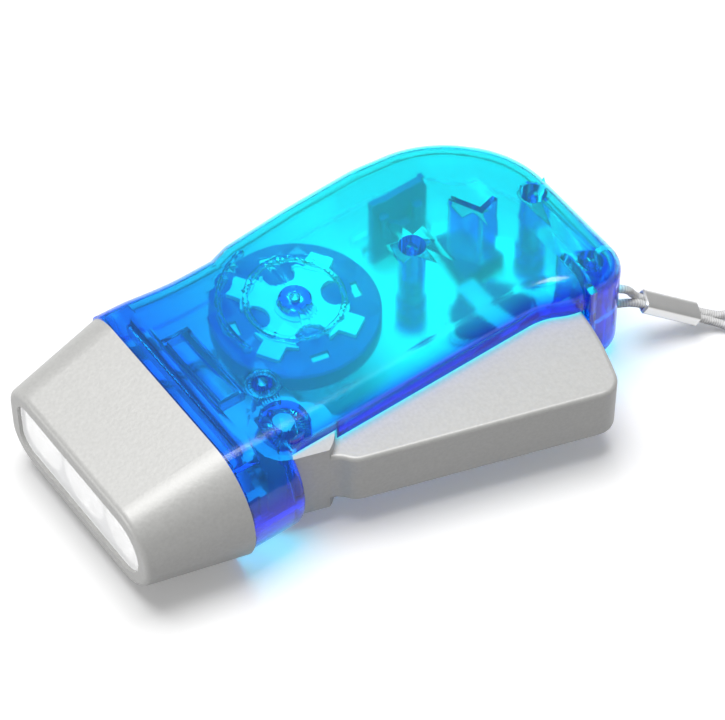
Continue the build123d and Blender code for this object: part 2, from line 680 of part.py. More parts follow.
def lever_plan(inset):
    """Lever in plan, shut, with its outer boundary moved in by inset; the inner side stays put."""
    hub_x, hub_y = PIVOT
    block_y = hub_y - BLOCK_OUTER + inset
    outer_y = hub_y - LEVER_OUTER + inset
    shoulder = (hub_x + 6.5, hub_x + 12.2)
    middle = ((shoulder[0] + shoulder[1]) / 2, (block_y + outer_y) / 2)
    first = TangentArc((shoulder[0], block_y), middle, tangent=(1, 0))
    second = TangentArc(middle, (shoulder[1], outer_y), tangent=first % 1)
    inner_start = (-8.0, -5.6)
    slope = 13.3 / 49.6
    far_x = 50.0
    far_y = inner_start[1] + slope * (far_x - inner_start[0])
    left = (hub_x, block_y) if inset == 0 else (hub_x - 12, block_y)
    back = along(PIVOT, BLOCK_OUTER, 60) if inset == 0 else (hub_x - 12, 12)
    outline = [
        Line(left, (shoulder[0], block_y)),
        first,
        second,
        Line((shoulder[1], outer_y), (far_x, outer_y)),
    ]
    if inset == 0:
        outline += [
            Line((far_x, outer_y), (far_x, far_y)),
            Line((far_x, far_y), inner_start),
            Line(inner_start, back),
            Line(back, left),
        ]
    else:
        outline += [
            Line((far_x, outer_y), (far_x, 30)),
            Line((far_x, 30), (hub_x - 12, 30)),
            Line((hub_x - 12, 30), left),
        ]
    plan = make_face(outline)
    if inset == 0:
        plan += Pos(hub_x, hub_y) * Circle(BLOCK_OUTER)
    plan &= Pos(hub_x, hub_y) * Circle(LEVER_REACH - inset)
    corner = plan.vertices().filter_by(lambda v: v.X > 30).sort_by(Axis.Y)[0]
    return fillet(corner, 4.0 - inset)


def opened(shape):
    """Turn a shut lever piece to where it rests, open."""
    return Pos(*PIVOT, 0) * Rot(0, 0, -OPEN_ANGLE) * Pos(-PIVOT[0], -PIVOT[1], 0) * shape


SPRING_RADIUS = 3.0
SPRING_WIRE = 0.6
SPRING_TURNS = 2.5
SPRING_PITCH = 0.9
SPRING_LOW = 19.15
SPRING_BEND = 0.5
SPRING_TOP_ANGLE = 95.0
SPRING_FOOT_ANGLE = SPRING_TOP_ANGLE - 360 * SPRING_TURNS


def spring_leg(angle, ahead):
    """Where a leg of the spring stands in plan: a little ahead of the last or first turn."""
    x, y = along(PIVOT, SPRING_RADIUS, angle)
    return (x - ahead * sin(radians(angle)), y + ahead * cos(radians(angle)))


def lever():
    """Open trough with a thick hinge block: two trunnions, a far end that follows the swing."""
    plan = lever_plan(0)
    arm = prism(plan, LEVER_LOW, LEVER_HIGH)
    level = arm.edges().filter_by(lambda e: e.bounding_box().size.Z < 0.01)
    arm = fillet(level, 0.8)
    hinge = prism(plan & Pos(*PIVOT) * Circle(BLOCK_RADIUS), BLOCK_LOW, BLOCK_HIGH)
    body = arm + hinge
    body -= prism(lever_plan(LEVER_WALL), LEVER_LOW + LEVER_WALL, LEVER_HIGH - LEVER_WALL)
    for x in (4.0, 16.0, 28.0):
        near = PIVOT[1] - LEVER_OUTER + LEVER_WALL
        body += block(x, x + 1.2, near - 0.5, near + 5.0, LEVER_LOW + 1.0, LEVER_HIGH - 1.0)
    body -= pipe(PIVOT, 4.0, TRUNNION, 18.5, BLOCK_HIGH + 1)
    body += drum(PIVOT, TRUNNION, BLOCK_HIGH - 1, BODY_TOP - 2.1)
    body += drum(PIVOT, TRUNNION, 2.3, BLOCK_LOW + 1)
    body = opened(body)
    return body - drum(spring_leg(SPRING_FOOT_ANGLE, -SPRING_BEND), 0.34, 17.9, 19)


def biarc(start, start_way, end, end_way):
    """Two arcs that leave one point and reach another along given directions."""
    chord = end - start
    both = start_way + end_way
    spread = 2 * (1 - start_way.dot(end_way))
    if spread < 1e-9:
        reach = chord.dot(chord) / (4 * chord.dot(end_way))
    else:
        reach = (-chord.dot(both) + sqrt(chord.dot(both) ** 2 + spread * chord.dot(chord))) / spread
    knee_in = start + start_way * reach
    knee_out = end - end_way * reach
    middle = (knee_in + knee_out) * 0.5
    way = (knee_out - knee_in).normalized()
    return [
        Edge.make_tangent_arc(start, start_way, middle),
        Edge.make_tangent_arc(middle, way, end),
    ]


def round_wire(edges, diameter):
    path = Wire(edges)
    section = Plane(origin=path @ 0, z_dir=path % 0) * Circle(diameter / 2)
    return sweep(section, path=path)


def return_spring():
    """Torsion spring round the upper trunnion: one leg in the lever, one in the shell's boss."""
    quarters = round(SPRING_TURNS * 4)
    rise = SPRING_PITCH / 360
    steps = []
    for index in range(quarters + 1):
        turned = 90 * index
        angle = SPRING_FOOT_ANGLE + turned
        x, y = along(PIVOT, SPRING_RADIUS, angle)
        way = Vector(-sin(radians(angle)), cos(radians(angle)), degrees(rise) / SPRING_RADIUS)
        steps.append((Vector(x, y, SPRING_LOW + rise * turned), way.normalized()))
    edges = []
    foot, foot_way = steps[0]
    bend = foot - foot_way * SPRING_BEND - Vector(0, 0, 0.5)
    edges.append(Edge.make_line(bend - Vector(0, 0, 0.5), bend))
    edges += biarc(bend, Vector(0, 0, 1), foot, foot_way)
    for (here, way), (there, next_way) in zip(steps, steps[1:]):
        edges += biarc(here, way, there, next_way)
    head, head_way = steps[-1]
    knee = head + head_way * SPRING_BEND + Vector(0, 0, 0.5)
    edges += biarc(head, head_way, knee, Vector(0, 0, 1))
    edges.append(Edge.make_line(knee, knee + Vector(0, 0, 1.4)))
    return round_wire(edges, SPRING_WIRE)


# ---- charge store -------------------------------------------------------------------------

CELL_CENTRE = (34.5, 1.5)
CELL_RADIUS = 8.0


def button_cell():
    cell = drum(CELL_CENTRE, CELL_RADIUS, WALL, 5.0)
    cap = drum(CELL_CENTRE, CELL_RADIUS - 1.0, 5.0, 5.2)
    return chamfer(cell.edges().group_by(Axis.Z)[0], 0.4) + cap


def cell_clip():
    """Sprung strip over the cell, folded down to the floor at both ends."""
    x, y = CELL_CENTRE
    reach = CELL_RADIUS + 1.0
    strip = block(x - 2, x + 2, y - reach, y + reach, 5.25, 5.6)
    for side in (-1, 1):
        low, high = sorted((y + side * (reach - 0.35), y + side * reach))
        strip += block(x - 2, x + 2, low, high, WALL, 5.6)
    return strip


def charge_board():
    """Small board that stands in two ribs by the back wall, with its rectifier diodes."""
    board = block(24.5, 37.0, 26.0, 27.4, 2.6, 19.5)
    for x in (27.0, 34.0):
        board += Pos(x, 25.1, 13.0) * Cylinder(0.95, 4.4)
    board += block(28.8, 32.4, 24.4, 26.0, 8.0, 11.6)
    return board


def lead_wires():
    """Two insulated wires from the stator to the lamp board, along the floor by the back wall."""
    wires = []
    for offset_y in (0.0, 1.4):
        route = [
            (3.0, 22.6 + offset_y * 0.4, 8.5),
            (2.4, 24.2 + offset_y * 0.4, 5.0),
            (-3.0, 25.0 + offset_y, 3.2),
            (-14.0, 24.8 + offset_y, 3.0),
            (-26.0, 22.6 + offset_y, 4.4),
            (-32.5, 20.6 + offset_y, 9.0),
            (BOARD_X + BOARD_THICK, 20.6 + offset_y, 9.0),
        ]
        wires.append(round_wire(route_edges(route), 0.9))
    return Compound(children=[wire.solid() for wire in wires])


# ---- wrist cord ---------------------------------------------------------------------------


def corner_radii(points):
    """Largest arcs that two straight runs allow: 0.45 of the shorter run over tan(half turn)."""
    radii = []
    vectors = [Vector(*point) for point in points]
    for before, here, after in zip(vectors, vectors[1:], vectors[2:]):
        turn = (here - before).get_angle(after - here)
        shorter = min((here - before).length, (after - here).length)
        radii.append(0.45 * shorter / tan(radians(turn) / 2))
    return radii


def route_edges(points):
    return FilletPolyline(*points, radius=corner_radii(points)).edges()


CORD_ROUTE = [
    (77.53, -40.06, 2.90),
    (73.77, -37.78, 2.90),
    (71.30, -34.60, 1.90),
    (70.60, -29.60, 0.90),
    (70.10, -24.40, 1.30),
    (67.60, -20.89, 2.90),
    (54.21, -14.47, 11.50),
    (49.67, -12.01, 11.10),
    (49.67, -12.01, 15.90),
    (53.20, -14.20, 15.80),
    (55.79, -13.40, 10.95),
    (68.32, -19.41, 2.90),
    (72.00, -20.10, 1.30),
    (77.60, -18.20, 0.85),
    (83.60, -16.91, 0.85),
    (89.785, -21.195, 0.85),
]


def wrist_cord():
    """The loop's free stretches: from the coil through the sleeve, round the bar and back."""
    return round_wire(route_edges(CORD_ROUTE), CORD)


def coil_line(turned):
    """Point of the put-away coil after a turn in degrees: in along the floor, out on top of it."""
    half = COIL_TURNS * 180
    inward = min(turned, 2 * half - turned)
    radius = COIL_OUTER - COIL_PITCH * inward / 360
    climb = min(1, max(0, (turned - half + 90) / 180))
    angle = COIL_HEADING + 90 - turned
    x, y = along(COIL_CENTRE, radius, angle)
    return Vector(x, y, COIL_FLOOR + COIL_LAYER * climb * climb * (3 - 2 * climb))


def coil_way(turned):
    step = 0.05
    low = max(0, turned - step)
    high = min(COIL_TURNS * 360, turned + step)
    return (coil_line(high) - coil_line(low)).normalized()


def wrist_cord_coil():
    """The rest of the loop, wound up in two layers and laid down beside the torch."""
    quarters = round(COIL_TURNS * 4)
    first = coil_line(0)
    edges = [Edge.make_line(first - coil_way(0) * CORD, first)]
    for index in range(quarters):
        start = 90 * index
        end = start + 90
        edges += biarc(coil_line(start), coil_way(start), coil_line(end), coil_way(end))
    turned = COIL_TURNS * 360
    last = coil_line(turned)
    edges.append(Edge.make_line(last, last + coil_way(turned) * CORD))
    return round_wire(edges, CORD)


def lanyard_ferrule():
    """Flat crimped metal sleeve that holds the two strands side by side."""
    start = Vector(*SLEEVE_START)
    way = Vector(*SLEEVE_END) - start
    level = Vector(-way.Y, way.X, 0).normalized()
    plane = Plane(origin=start, x_dir=level, z_dir=way.normalized())
    ring = SlotOverall(4.1, 2.4) - SlotOverall(3.3, 1.66)
    return extrude(plane * ring, way.length)


# ---- the whole torch ----------------------------------------------------------------------


def gap_to_itself(points, skip):
    """Least distance between points of a line that are further apart along it than skip."""
    least = inf
    for index, here in enumerate(points):
        for there in points[index + skip:]:
            least = min(least, (here - there).length)
    return least


def build():
    walls = shell_walls()
    PARTS["upper_shell"] = upper_shell(walls)
    PARTS["lower_shell"] = lower_shell(walls)
    PARTS["nose_bezel"] = nose_bezel()
    PARTS["lens"] = lens()
    PARTS["reflector"] = reflector()
    for name, y in zip(("led_near", "led_middle", "led_far"), LAMP_Y):
        PARTS[name] = led(y)
    PARTS["led_board"] = led_board()
    PARTS["case_screws"] = case_screws()
    PARTS["first_axle"] = drum(FIRST_AXIS, AXLE, 1.0, BODY_TOP - 1.4)
    PARTS["second_axle"] = drum(SECOND_AXIS, AXLE, 1.0, 12.6)
    PARTS["sector_gear"] = sector_gear()
    PARTS["first_gear"] = first_gear()
    PARTS["second_gear"] = second_gear()
    PARTS["drive_pinion"] = drive_pinion()
    PARTS["ratchet_crown"] = ratchet_crown()
    PARTS["flywheel_disc"] = flywheel_disc()
    PARTS["flywheel_hub"] = flywheel_hub()
    PARTS["flywheel_shaft"] = flywheel_shaft()
    PARTS["rotor_magnet"] = rotor_magnet()
    PARTS["stator_lower"] = stator_cup(False)
    PARTS["stator_upper"] = stator_cup(True)
    PARTS["coil_bobbin"] = coil_bobbin()
    PARTS["coil_winding"] = coil_winding()
    PARTS["lever"] = lever()
    PARTS["return_spring"] = return_spring()
    PARTS["button_cell"] = button_cell()
    PARTS["cell_clip"] = cell_clip()
    PARTS["charge_board"] = charge_board()
    PARTS["lead_wires"] = lead_wires()
    PARTS["lanyard_ferrule"] = lanyard_ferrule()
    PARTS["wrist_cord"] = wrist_cord()
    PARTS["wrist_cord_coil"] = wrist_cord_coil()


def report():
    line = [coil_line(turned) for turned in range(0, round(COIL_TURNS * 360) + 1, 6)]
    print("coil: least gap to itself", round(gap_to_itself(line, 30) - CORD, 2))
    print("cord radii:", [round(radius, 1) for radius in corner_radii(CORD_ROUTE)])
    section = pi * CORD**2 / 4
    free = sum(edge.length for edge in route_edges(CORD_ROUTE))
    print("free cord:", round(free, 1), "volume share", round(PARTS["wrist_cord"].volume / free / section, 4))
    print("coiled cord:", round(PARTS["wrist_cord_coil"].volume / section, 1))
    print("second axis:", SECOND_AXIS, "first pinion reach:", FIRST_REACH)


build()
report()
os.makedirs("parts", exist_ok=True)
for name, shape in PARTS.items():
    export_step(shape, "parts/" + name + ".step")
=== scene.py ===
from math import cos, pi, radians, sin

import bmesh
import bpy
import numpy as np
from mathutils import Matrix, Vector


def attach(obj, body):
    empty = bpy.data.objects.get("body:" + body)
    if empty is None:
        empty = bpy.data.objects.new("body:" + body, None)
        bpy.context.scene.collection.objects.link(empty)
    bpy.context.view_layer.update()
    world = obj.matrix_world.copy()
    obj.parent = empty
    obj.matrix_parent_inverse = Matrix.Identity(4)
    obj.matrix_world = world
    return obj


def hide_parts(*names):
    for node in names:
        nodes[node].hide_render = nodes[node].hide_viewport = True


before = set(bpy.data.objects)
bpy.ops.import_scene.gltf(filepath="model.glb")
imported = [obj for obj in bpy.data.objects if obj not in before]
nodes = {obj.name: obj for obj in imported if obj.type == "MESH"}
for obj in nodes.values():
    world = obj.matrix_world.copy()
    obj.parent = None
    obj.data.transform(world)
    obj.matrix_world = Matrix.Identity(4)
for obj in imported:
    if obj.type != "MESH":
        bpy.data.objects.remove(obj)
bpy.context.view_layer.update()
MM = 0.001

# ---- camera ----
# The torch is seen from above its lamp end, 36 degrees round towards the lever, with a long lens
# that keeps its straight edges nearly parallel.
VIEW_TURN = radians(36)
VIEW_TILT = radians(52)
VIEW_TARGET = Vector((-1.2, -6.1, 27.0)) * MM
VIEW_DISTANCE = 619.5 * MM
level_way = Vector((sin(VIEW_TURN), cos(VIEW_TURN), 0))
sight = level_way * cos(VIEW_TILT) - Vector((0, 0, sin(VIEW_TILT)))
right = Vector((cos(VIEW_TURN), -sin(VIEW_TURN), 0))
lens_data = bpy.data.cameras.new("camera")
lens_data.lens = 173.8
lens_data.sensor_width = 36.0
lens_data.clip_start = 0.01
camera = bpy.data.objects.new("camera", lens_data)
axes = Matrix((right, right.cross(sight), -sight)).transposed()
camera.matrix_world = Matrix.Translation(VIEW_TARGET - sight * VIEW_DISTANCE) @ axes.to_4x4()
bpy.context.scene.collection.objects.link(camera)
bpy.context.scene.camera = camera


# ---- wrist cord ----
# One soft white cord of braided polyester, 1.6 mm thick, in a closed loop of about 350 mm. It goes
# round the bar in the tail corner, and both strands pass through the metal sleeve side by side.
CORD = 1.6 * MM
FROM_BAR = [
    (49.67, -12.01, 13.90),
    (49.67, -12.01, 15.90),
    (53.20, -14.20, 15.80),
    (55.79, -13.40, 10.95),
    (57.80, -14.37, 9.66),
    (64.80, -17.72, 5.16),
    (68.32, -19.41, 2.90),
    (71.90, -21.55, 1.30),
    (76.90, -20.60, 0.85),
    (81.60, -17.70, 0.85),
    (86.00, -18.75, 0.85),
    (89.785, -21.195, 0.85),
]
TO_BAR = [
    (77.53, -40.06, 2.90),
    (73.77, -37.78, 2.90),
    (71.80, -34.30, 1.70),
    (72.30, -30.30, 0.90),
    (72.20, -26.30, 0.90),
    (70.55, -23.05, 1.30),
    (67.60, -20.89, 2.90),
    (64.08, -19.20, 5.16),
    (57.08, -15.85, 9.66),
    (54.21, -14.47, 11.50),
    (49.67, -12.01, 11.10),
    (49.67, -12.01, 13.10),
]
COIL_CENTRE = (85.0, -31.5)
COIL_OUTER = 11.2
COIL_PITCH = 2.1
COIL_TURNS = 4.5
COIL_FLOOR = 0.85
COIL_LAYER = 2.05
COIL_START = 57.0
COIL_STEP = 15.0


def coil_points():
    """The put-away turns: in along the floor at a steady rate, and out again on top of them."""
    half = COIL_TURNS * 180
    found = []
    for index in range(1, round(COIL_TURNS * 360 / COIL_STEP)):
        turned = index * COIL_STEP
        inward = min(turned, 2 * half - turned)
        swell = 1 / cos(radians(COIL_STEP / 2))
        radius = (COIL_OUTER - COIL_PITCH * inward / 360) * swell
        climb = min(1, max(0, (turned - half + 90) / 180))
        angle = radians(COIL_START - turned)
        found.append(
            (
                COIL_CENTRE[0] + radius * cos(angle),
                COIL_CENTRE[1] + radius * sin(angle),
                COIL_FLOOR + COIL_LAYER * climb * climb * (3 - 2 * climb),
            )
        )
    return found


def smooth_line(points, resolution=12):
    """Points of the quadratic spline that a list of control points steers, in metres."""
    curve = bpy.data.curves.new("route", "CURVE")
    curve.dimensions = "3D"
    spline = curve.splines.new("NURBS")
    spline.points.add(len(points) - 1)
    for target, (x, y, z) in zip(spline.points, points):
        target.co = (x * MM, y * MM, z * MM, 1)
    spline.order_u = 3
    spline.use_endpoint_u = True
    spline.resolution_u = resolution
    carrier = bpy.data.objects.new("route", curve)
    bpy.context.scene.collection.objects.link(carrier)
    line = bpy.data.meshes.new_from_object(carrier)
    found = np.empty(len(line.vertices) * 3)
    line.vertices.foreach_get("co", found)
    bpy.data.objects.remove(carrier)
    bpy.data.meshes.remove(line)
    return found.reshape(-1, 3)


def even_points(line, step):
    """The same line with points a steady step apart, and the length run at each."""
    run = np.concatenate([[0], np.cumsum(np.linalg.norm(np.diff(line, axis=0), axis=1))])
    count = int(round(run[-1] / step)) + 1
    wanted = np.linspace(0, run[-1], count)
    return np.stack([np.interp(wanted, run, line[:, axis]) for axis in range(3)], 1), wanted


def steady_frames(line):
    """Two cross directions at each point of a line, turned as little as possible along it."""
    ways = np.gradient(line, axis=0)
    ways /= np.linalg.norm(ways, axis=1)[:, None]
    sides = np.empty_like(ways)
    side = np.cross(ways[0], (0.3, 0.2, 1.0))
    for index, way in enumerate(ways):
        side = side - way * side.dot(way)
        side = side / np.linalg.norm(side)
        sides[index] = side
    return sides, np.cross(ways, sides)


def grid_mesh(name, rows, caps=True, along=1.0, around=1.0):
    """Mesh from an array of closed rows of points: row i and point j, joined to i + 1 and j + 1.

    Its UV map holds i times along and j times around.
    """
    count, sides = rows.shape[0], rows.shape[1]
    index = np.arange(count * sides).reshape(count, sides)
    turned = np.roll(index, -1, axis=1)
    faces = np.stack([index[:-1], turned[:-1], turned[1:], index[1:]], -1).reshape(-1, 4)
    polygons = [tuple(face) for face in faces.tolist()]
    if caps:
        polygons.append(tuple(index[0][::-1].tolist()))
        polygons.append(tuple(index[-1].tolist()))
    mesh = bpy.data.meshes.new(name)
    mesh.from_pydata(rows.reshape(-1, 3).tolist(), [], polygons)
    mesh.update()
    mesh.shade_smooth()
    layer = mesh.uv_layers.new(name="along")
    loops = np.empty(len(mesh.loops), np.int32)
    mesh.loops.foreach_get("vertex_index", loops)
    quads = len(faces)
    u = loops // sides
    v = (loops % sides).astype(float)
    ends = v[: quads * 4].reshape(-1, 4)
    wrap = ends.max(1) - ends.min(1) > sides / 2
    ends[wrap] = np.where(ends[wrap] < sides / 2, ends[wrap] + sides, ends[wrap])
    v[: quads * 4] = ends.reshape(-1)
    uv = np.stack([u * along, v * around], 1)
    layer.data.foreach_set("uv", uv.ravel())
    return mesh


CORD_STEP = 0.16 * MM
CORD_SIDES = 24
BRAID_STRANDS = 4
BRAID_LAY = 2.6 * MM
BRAID_RELIEF = 0.07
cord_route = FROM_BAR + coil_points() + TO_BAR
cord_line, cord_run = even_points(smooth_line(cord_route), CORD_STEP)
cord_sides, cord_ups = steady_frames(cord_line)
# the radius rises where one of two opposite helices of strands lies on top
turn = np.linspace(0, 2 * pi, CORD_SIDES, endpoint=False)[None, :]
phase = (2 * pi * cord_run / BRAID_LAY)[:, None]
left_lay = np.cos(BRAID_STRANDS * turn + phase)
right_lay = np.cos(BRAID_STRANDS * turn - phase)
braid = np.maximum(left_lay, right_lay)
radius = CORD / 2 * (1 - BRAID_RELIEF + BRAID_RELIEF * braid)
cord_rows = (
    cord_line[:, None, :]
    + (radius * np.cos(turn))[..., None] * cord_sides[:, None, :]
    + (radius * np.sin(turn))[..., None] * cord_ups[:, None, :]
)
cord_mesh = grid_mesh("wrist_loop", cord_rows, along=CORD_STEP / BRAID_LAY, around=1 / CORD_SIDES)
wrist_loop = bpy.data.objects.new("wrist_loop", cord_mesh)
bpy.context.scene.collection.objects.link(wrist_loop)
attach(wrist_loop, "housing")
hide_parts("wrist_cord", "wrist_cord_coil")


def new_material(name, **sockets):
    """Material with one Principled shader whose plain sockets take the given values."""
    made = bpy.data.materials.new(name)
    made.use_nodes = True
    shader = made.node_tree.nodes["Principled BSDF"]
    for socket, value in sockets.items():
        shader.inputs[socket.replace("_", " ")].default_value = value
    return made, made.node_tree, shader


cord_finish, tree, shader = new_material(
    "braided_cord", Roughness=0.6, Sheen_Weight=0.3, Sheen_Roughness=0.4,
    Base_Color=(0.7, 0.7,
    0.72, 1),
)
where = tree.nodes.new("ShaderNodeUVMap")
where.uv_map = "along"
lay = tree.nodes.new("ShaderNodeTexWave")
lay.inputs["Scale"].default_value = 1.6
lay.inputs["Distortion"].default_value = 2.0
tone = tree.nodes.new("ShaderNodeMapRange")
tone.inputs["To Min"].default_value = 0.72
tone.inputs["To Max"].default_value = 0.93
pale = tree.nodes.new("ShaderNodeCombineColor")
tree.links.new(where.outputs["UV"], lay.inputs["Vector"])
tree.links.new(lay.outputs["Fac"], tone.inputs["Value"])
for channel in ("Red", "Green", "Blue"):
    tree.links.new(tone.outputs["Result"], pale.inputs[channel])
tree.links.new(pale.outputs["Color"], shader.inputs["Base Color"])
cord_mesh.materials.append(cord_finish)

# ---- grain of the moulded and machined pieces ----
# Fine spark-eroded grain of a moulding tool, with a slow drift of tone across the piece. Colour
# and roughness follow both, and the fine grain alone gives the relief.


def new_group(name, inputs, outputs):
    """Shader node group with named float or colour sockets."""
    group = bpy.data.node_groups.new(name, "ShaderNodeTree")
    for label, kind, value in inputs:
        socket = group.interface.new_socket(label, in_out="INPUT", socket_type=kind)
        socket.default_value = value
    for label, kind in outputs:
        group.interface.new_socket(label, in_out="OUTPUT", socket_type=kind)
    entry = group.nodes.new("NodeGroupInput")
    leave = group.nodes.new("NodeGroupOutput")
    return group, entry, leave


def place_group(tree, group, **values):
    node = tree.nodes.new("ShaderNodeGroup")
    node.node_tree = group
    for socket, value in values.items():
        node.inputs[socket.replace("_", " ")].default_value = value
    return node


def compute(group, operation, *values):
    """Math node in a group, whose inputs are numbers or other nodes' outputs."""
    step = group.nodes.new("ShaderNodeMath")
    step.operation = operation
    for socket, value in zip(step.inputs, values):
        if isinstance(value, (int, float)):
            socket.default_value = value
        else:
            group.links.new(value, socket)
    return step.outputs[0]


moulded_grain, entry, leave = new_group(
    "moulded_grain",
    [
        ("Color", "NodeSocketColor", (0.5, 0.5, 0.5, 1)),
        ("Grain Size", "NodeSocketFloat", 900.0),
        ("Grain Tone", "NodeSocketFloat", 0.08),
        ("Drift Tone", "NodeSocketFloat", 0.05),
        ("Roughness", "NodeSocketFloat", 0.45),
        ("Bump", "NodeSocketFloat", 0.1),
    ],
    [
        ("Color", "NodeSocketColor"),
        ("Roughness", "NodeSocketFloat"),
        ("Normal", "NodeSocketVector"),
    ],
)
place = moulded_grain.nodes.new("ShaderNodeTexCoord")
fine = moulded_grain.nodes.new("ShaderNodeTexNoise")
fine.inputs["Detail"].default_value = 3
slow = moulded_grain.nodes.new("ShaderNodeTexNoise")
slow.inputs["Scale"].default_value = 55
slow.inputs["Detail"].default_value = 2
moulded_grain.links.new(place.outputs["Object"], fine.inputs["Vector"])
moulded_grain.links.new(place.outputs["Object"], slow.inputs["Vector"])
moulded_grain.links.new(entry.outputs["Grain Size"], fine.inputs["Scale"])
fine_off = compute(moulded_grain, "SUBTRACT", fine.outputs["Fac"], 0.5)
fine_tone = compute(moulded_grain, "MULTIPLY_ADD", fine_off, entry.outputs["Grain Tone"], 1.0)
slow_off = compute(moulded_grain, "SUBTRACT", slow.outputs["Fac"], 0.5)
slow_tone = compute(moulded_grain, "MULTIPLY_ADD", slow_off, entry.outputs["Drift Tone"], 1.0)
both = compute(moulded_grain, "MULTIPLY", fine_tone, slow_tone)
tint = moulded_grain.nodes.new("ShaderNodeVectorMath")
tint.operation = "SCALE"
moulded_grain.links.new(entry.outputs["Color"], tint.inputs[0])
moulded_grain.links.new(both, tint.inputs["Scale"])
moulded_grain.links.new(tint.outputs["Vector"], leave.inputs["Color"])
matt = compute(moulded_grain, "MULTIPLY", entry.outputs["Roughness"], both)
moulded_grain.links.new(matt, leave.inputs["Roughness"])
relief = moulded_grain.nodes.new("ShaderNodeBump")
relief.inputs["Distance"].default_value = 0.0001
moulded_grain.links.new(entry.outputs["Bump"], relief.inputs["Strength"])
moulded_grain.links.new(fine.outputs["Fac"], relief.inputs["Height"])
moulded_grain.links.new(relief.outputs["Normal"], leave.inputs["Normal"])


def grained(name, color, grain_size, grain_tone, drift, roughness, bump, **sockets):
    """Opaque moulded or machined finish with the shared grain."""
    made, tree, shader = new_material(name, **sockets)
    grain = place_group(
        tree,
        moulded_grain,
        Color=(*color, 1),
        Grain_Size=grain_size,
        Grain_Tone=grain_tone,
        Drift_Tone=drift,
        Roughness=roughness,
        Bump=bump,
    )
    tree.links.new(grain.outputs["Color"], shader.inputs["Base Color"])
    tree.links.new(grain.outputs["Roughness"], shader.inputs["Roughness"])
    tree.links.new(grain.outputs["Normal"], shader.inputs["Normal"])
    return made


# ---- lamp end and lever ----
# Satin silver paint over moulded ABS, slightly warm, with a fine sparkle from the flakes. The
# bezel is pressed over the front of the case, and the lever is a trough hinged beside it.


def wear(name, material):
    """Give one material to a carried-over piece."""
    piece = nodes[name]
    piece.data.materials.clear()
    piece.data.materials.append(material)


silver = grained(
    "satin_silver", (0.60, 0.60, 0.585), grain_size=1500.0, grain_tone=0.22, drift=0.04,
    roughness=0.42, bump=0.25, Metallic=0.15,
)
wear("nose_bezel", silver)
wear("lever", silver)

# ---- case ----
# Two shells of clear blue polystyrene, polished outside and slightly frosted inside, screwed
# together from below. The dye takes the red out within a millimetre or two: walls look cyan, and
# the thicker bosses and ribs deep blue. The nose and the side next to the lever get painted shade
# in the same deep blue.
WALL_TINT = (0.05, 0.99, 1.0, 1)
DEEP_TINT = (0.01, 0.04, 0.97, 1)
CEILING = 24.55 * MM
FLOOR_TOP = 2.3 * MM
# what stands down from the ceiling, as x, y and reach round it in millimetres
POSTS = [
    (22.4, 11.0, 3.1),
    (47.9, 8.0, 3.1),
    (46.6, -10.6, 2.9),
    (-17.9, 1.1, 2.1),
    (-19.6, -7.8, 4.7),
    (-2.0, 13.5, 3.2),
    (37.9, 12.4, 4.6),
]
# straight ramps of painted shade along X towards the nose and across Y on the side next to the
# lever: slope in 1/m, value at 0, and where each stops
NOSE_SLOPE, NOSE_AT_ZERO, NOSE_MOST = -16.0, 0.17, 0.7
NEAR_SLOPE, NEAR_AT_ZERO, NEAR_LEAST = -60.0, 0.5, 0.1

# Base colour of the shells: cyan walls, deep blue on the posts for their thicker plastic, and deep
# blue as painted shade on the upright walls (most on the side next to the lever) and towards the
# nose.
dye_and_painted_shade, entry, leave = new_group(
    "dye_and_painted_shade",
    [
        ("Wall", "NodeSocketColor", WALL_TINT),
        ("Deep", "NodeSocketColor", DEEP_TINT),
        ("Side Shade", "NodeSocketFloat", 1.2),
    ],
    [("Color", "NodeSocketColor")],
)
place = dye_and_painted_shade.nodes.new("ShaderNodeTexCoord")
split = dye_and_painted_shade.nodes.new("ShaderNodeSeparateXYZ")
dye_and_painted_shade.links.new(place.outputs["Object"], split.inputs["Vector"])
along_x, across_y, height = (split.outputs[axis] for axis in "XYZ")
in_posts = 0.0
for x, y, reach in POSTS:
    away_x = compute(dye_and_painted_shade, "POWER", compute(dye_and_painted_shade, "SUBTRACT", along_x, x * MM), 2.0)
    away_y = compute(dye_and_painted_shade, "POWER", compute(dye_and_painted_shade, "SUBTRACT", across_y, y * MM), 2.0)
    away = compute(dye_and_painted_shade, "SQRT", compute(dye_and_painted_shade, "ADD", away_x, away_y))
    near_post = compute(dye_and_painted_shade, "LESS_THAN", away, reach * MM)
    in_posts = compute(dye_and_painted_shade, "MAXIMUM", near_post, in_posts)
below_ceiling = compute(dye_and_painted_shade, "LESS_THAN", height, CEILING)
above_floor = compute(dye_and_painted_shade, "GREATER_THAN", height, FLOOR_TOP)
inside = compute(dye_and_painted_shade, "MULTIPLY", below_ceiling, above_floor)
facing = dye_and_painted_shade.nodes.new("ShaderNodeNewGeometry")
face = dye_and_painted_shade.nodes.new("ShaderNodeSeparateXYZ")
dye_and_painted_shade.links.new(facing.outputs["Normal"], face.inputs["Vector"])
upright = compute(dye_and_painted_shade, "SUBTRACT", 1.0, compute(dye_and_painted_shade, "ABSOLUTE", face.outputs["Z"]))
# painted shade: upright walls turn deep blue, most on the side next to the lever
near_ramp = compute(dye_and_painted_shade, "MULTIPLY_ADD", across_y, NEAR_SLOPE, NEAR_AT_ZERO)
near = compute(dye_and_painted_shade, "MINIMUM", compute(dye_and_painted_shade, "MAXIMUM", near_ramp, NEAR_LEAST), 1.0)
near_wall_shade = compute(dye_and_painted_shade, "MULTIPLY", upright, near)
sides = compute(dye_and_painted_shade, "MULTIPLY", near_wall_shade, entry.outputs["Side Shade"])
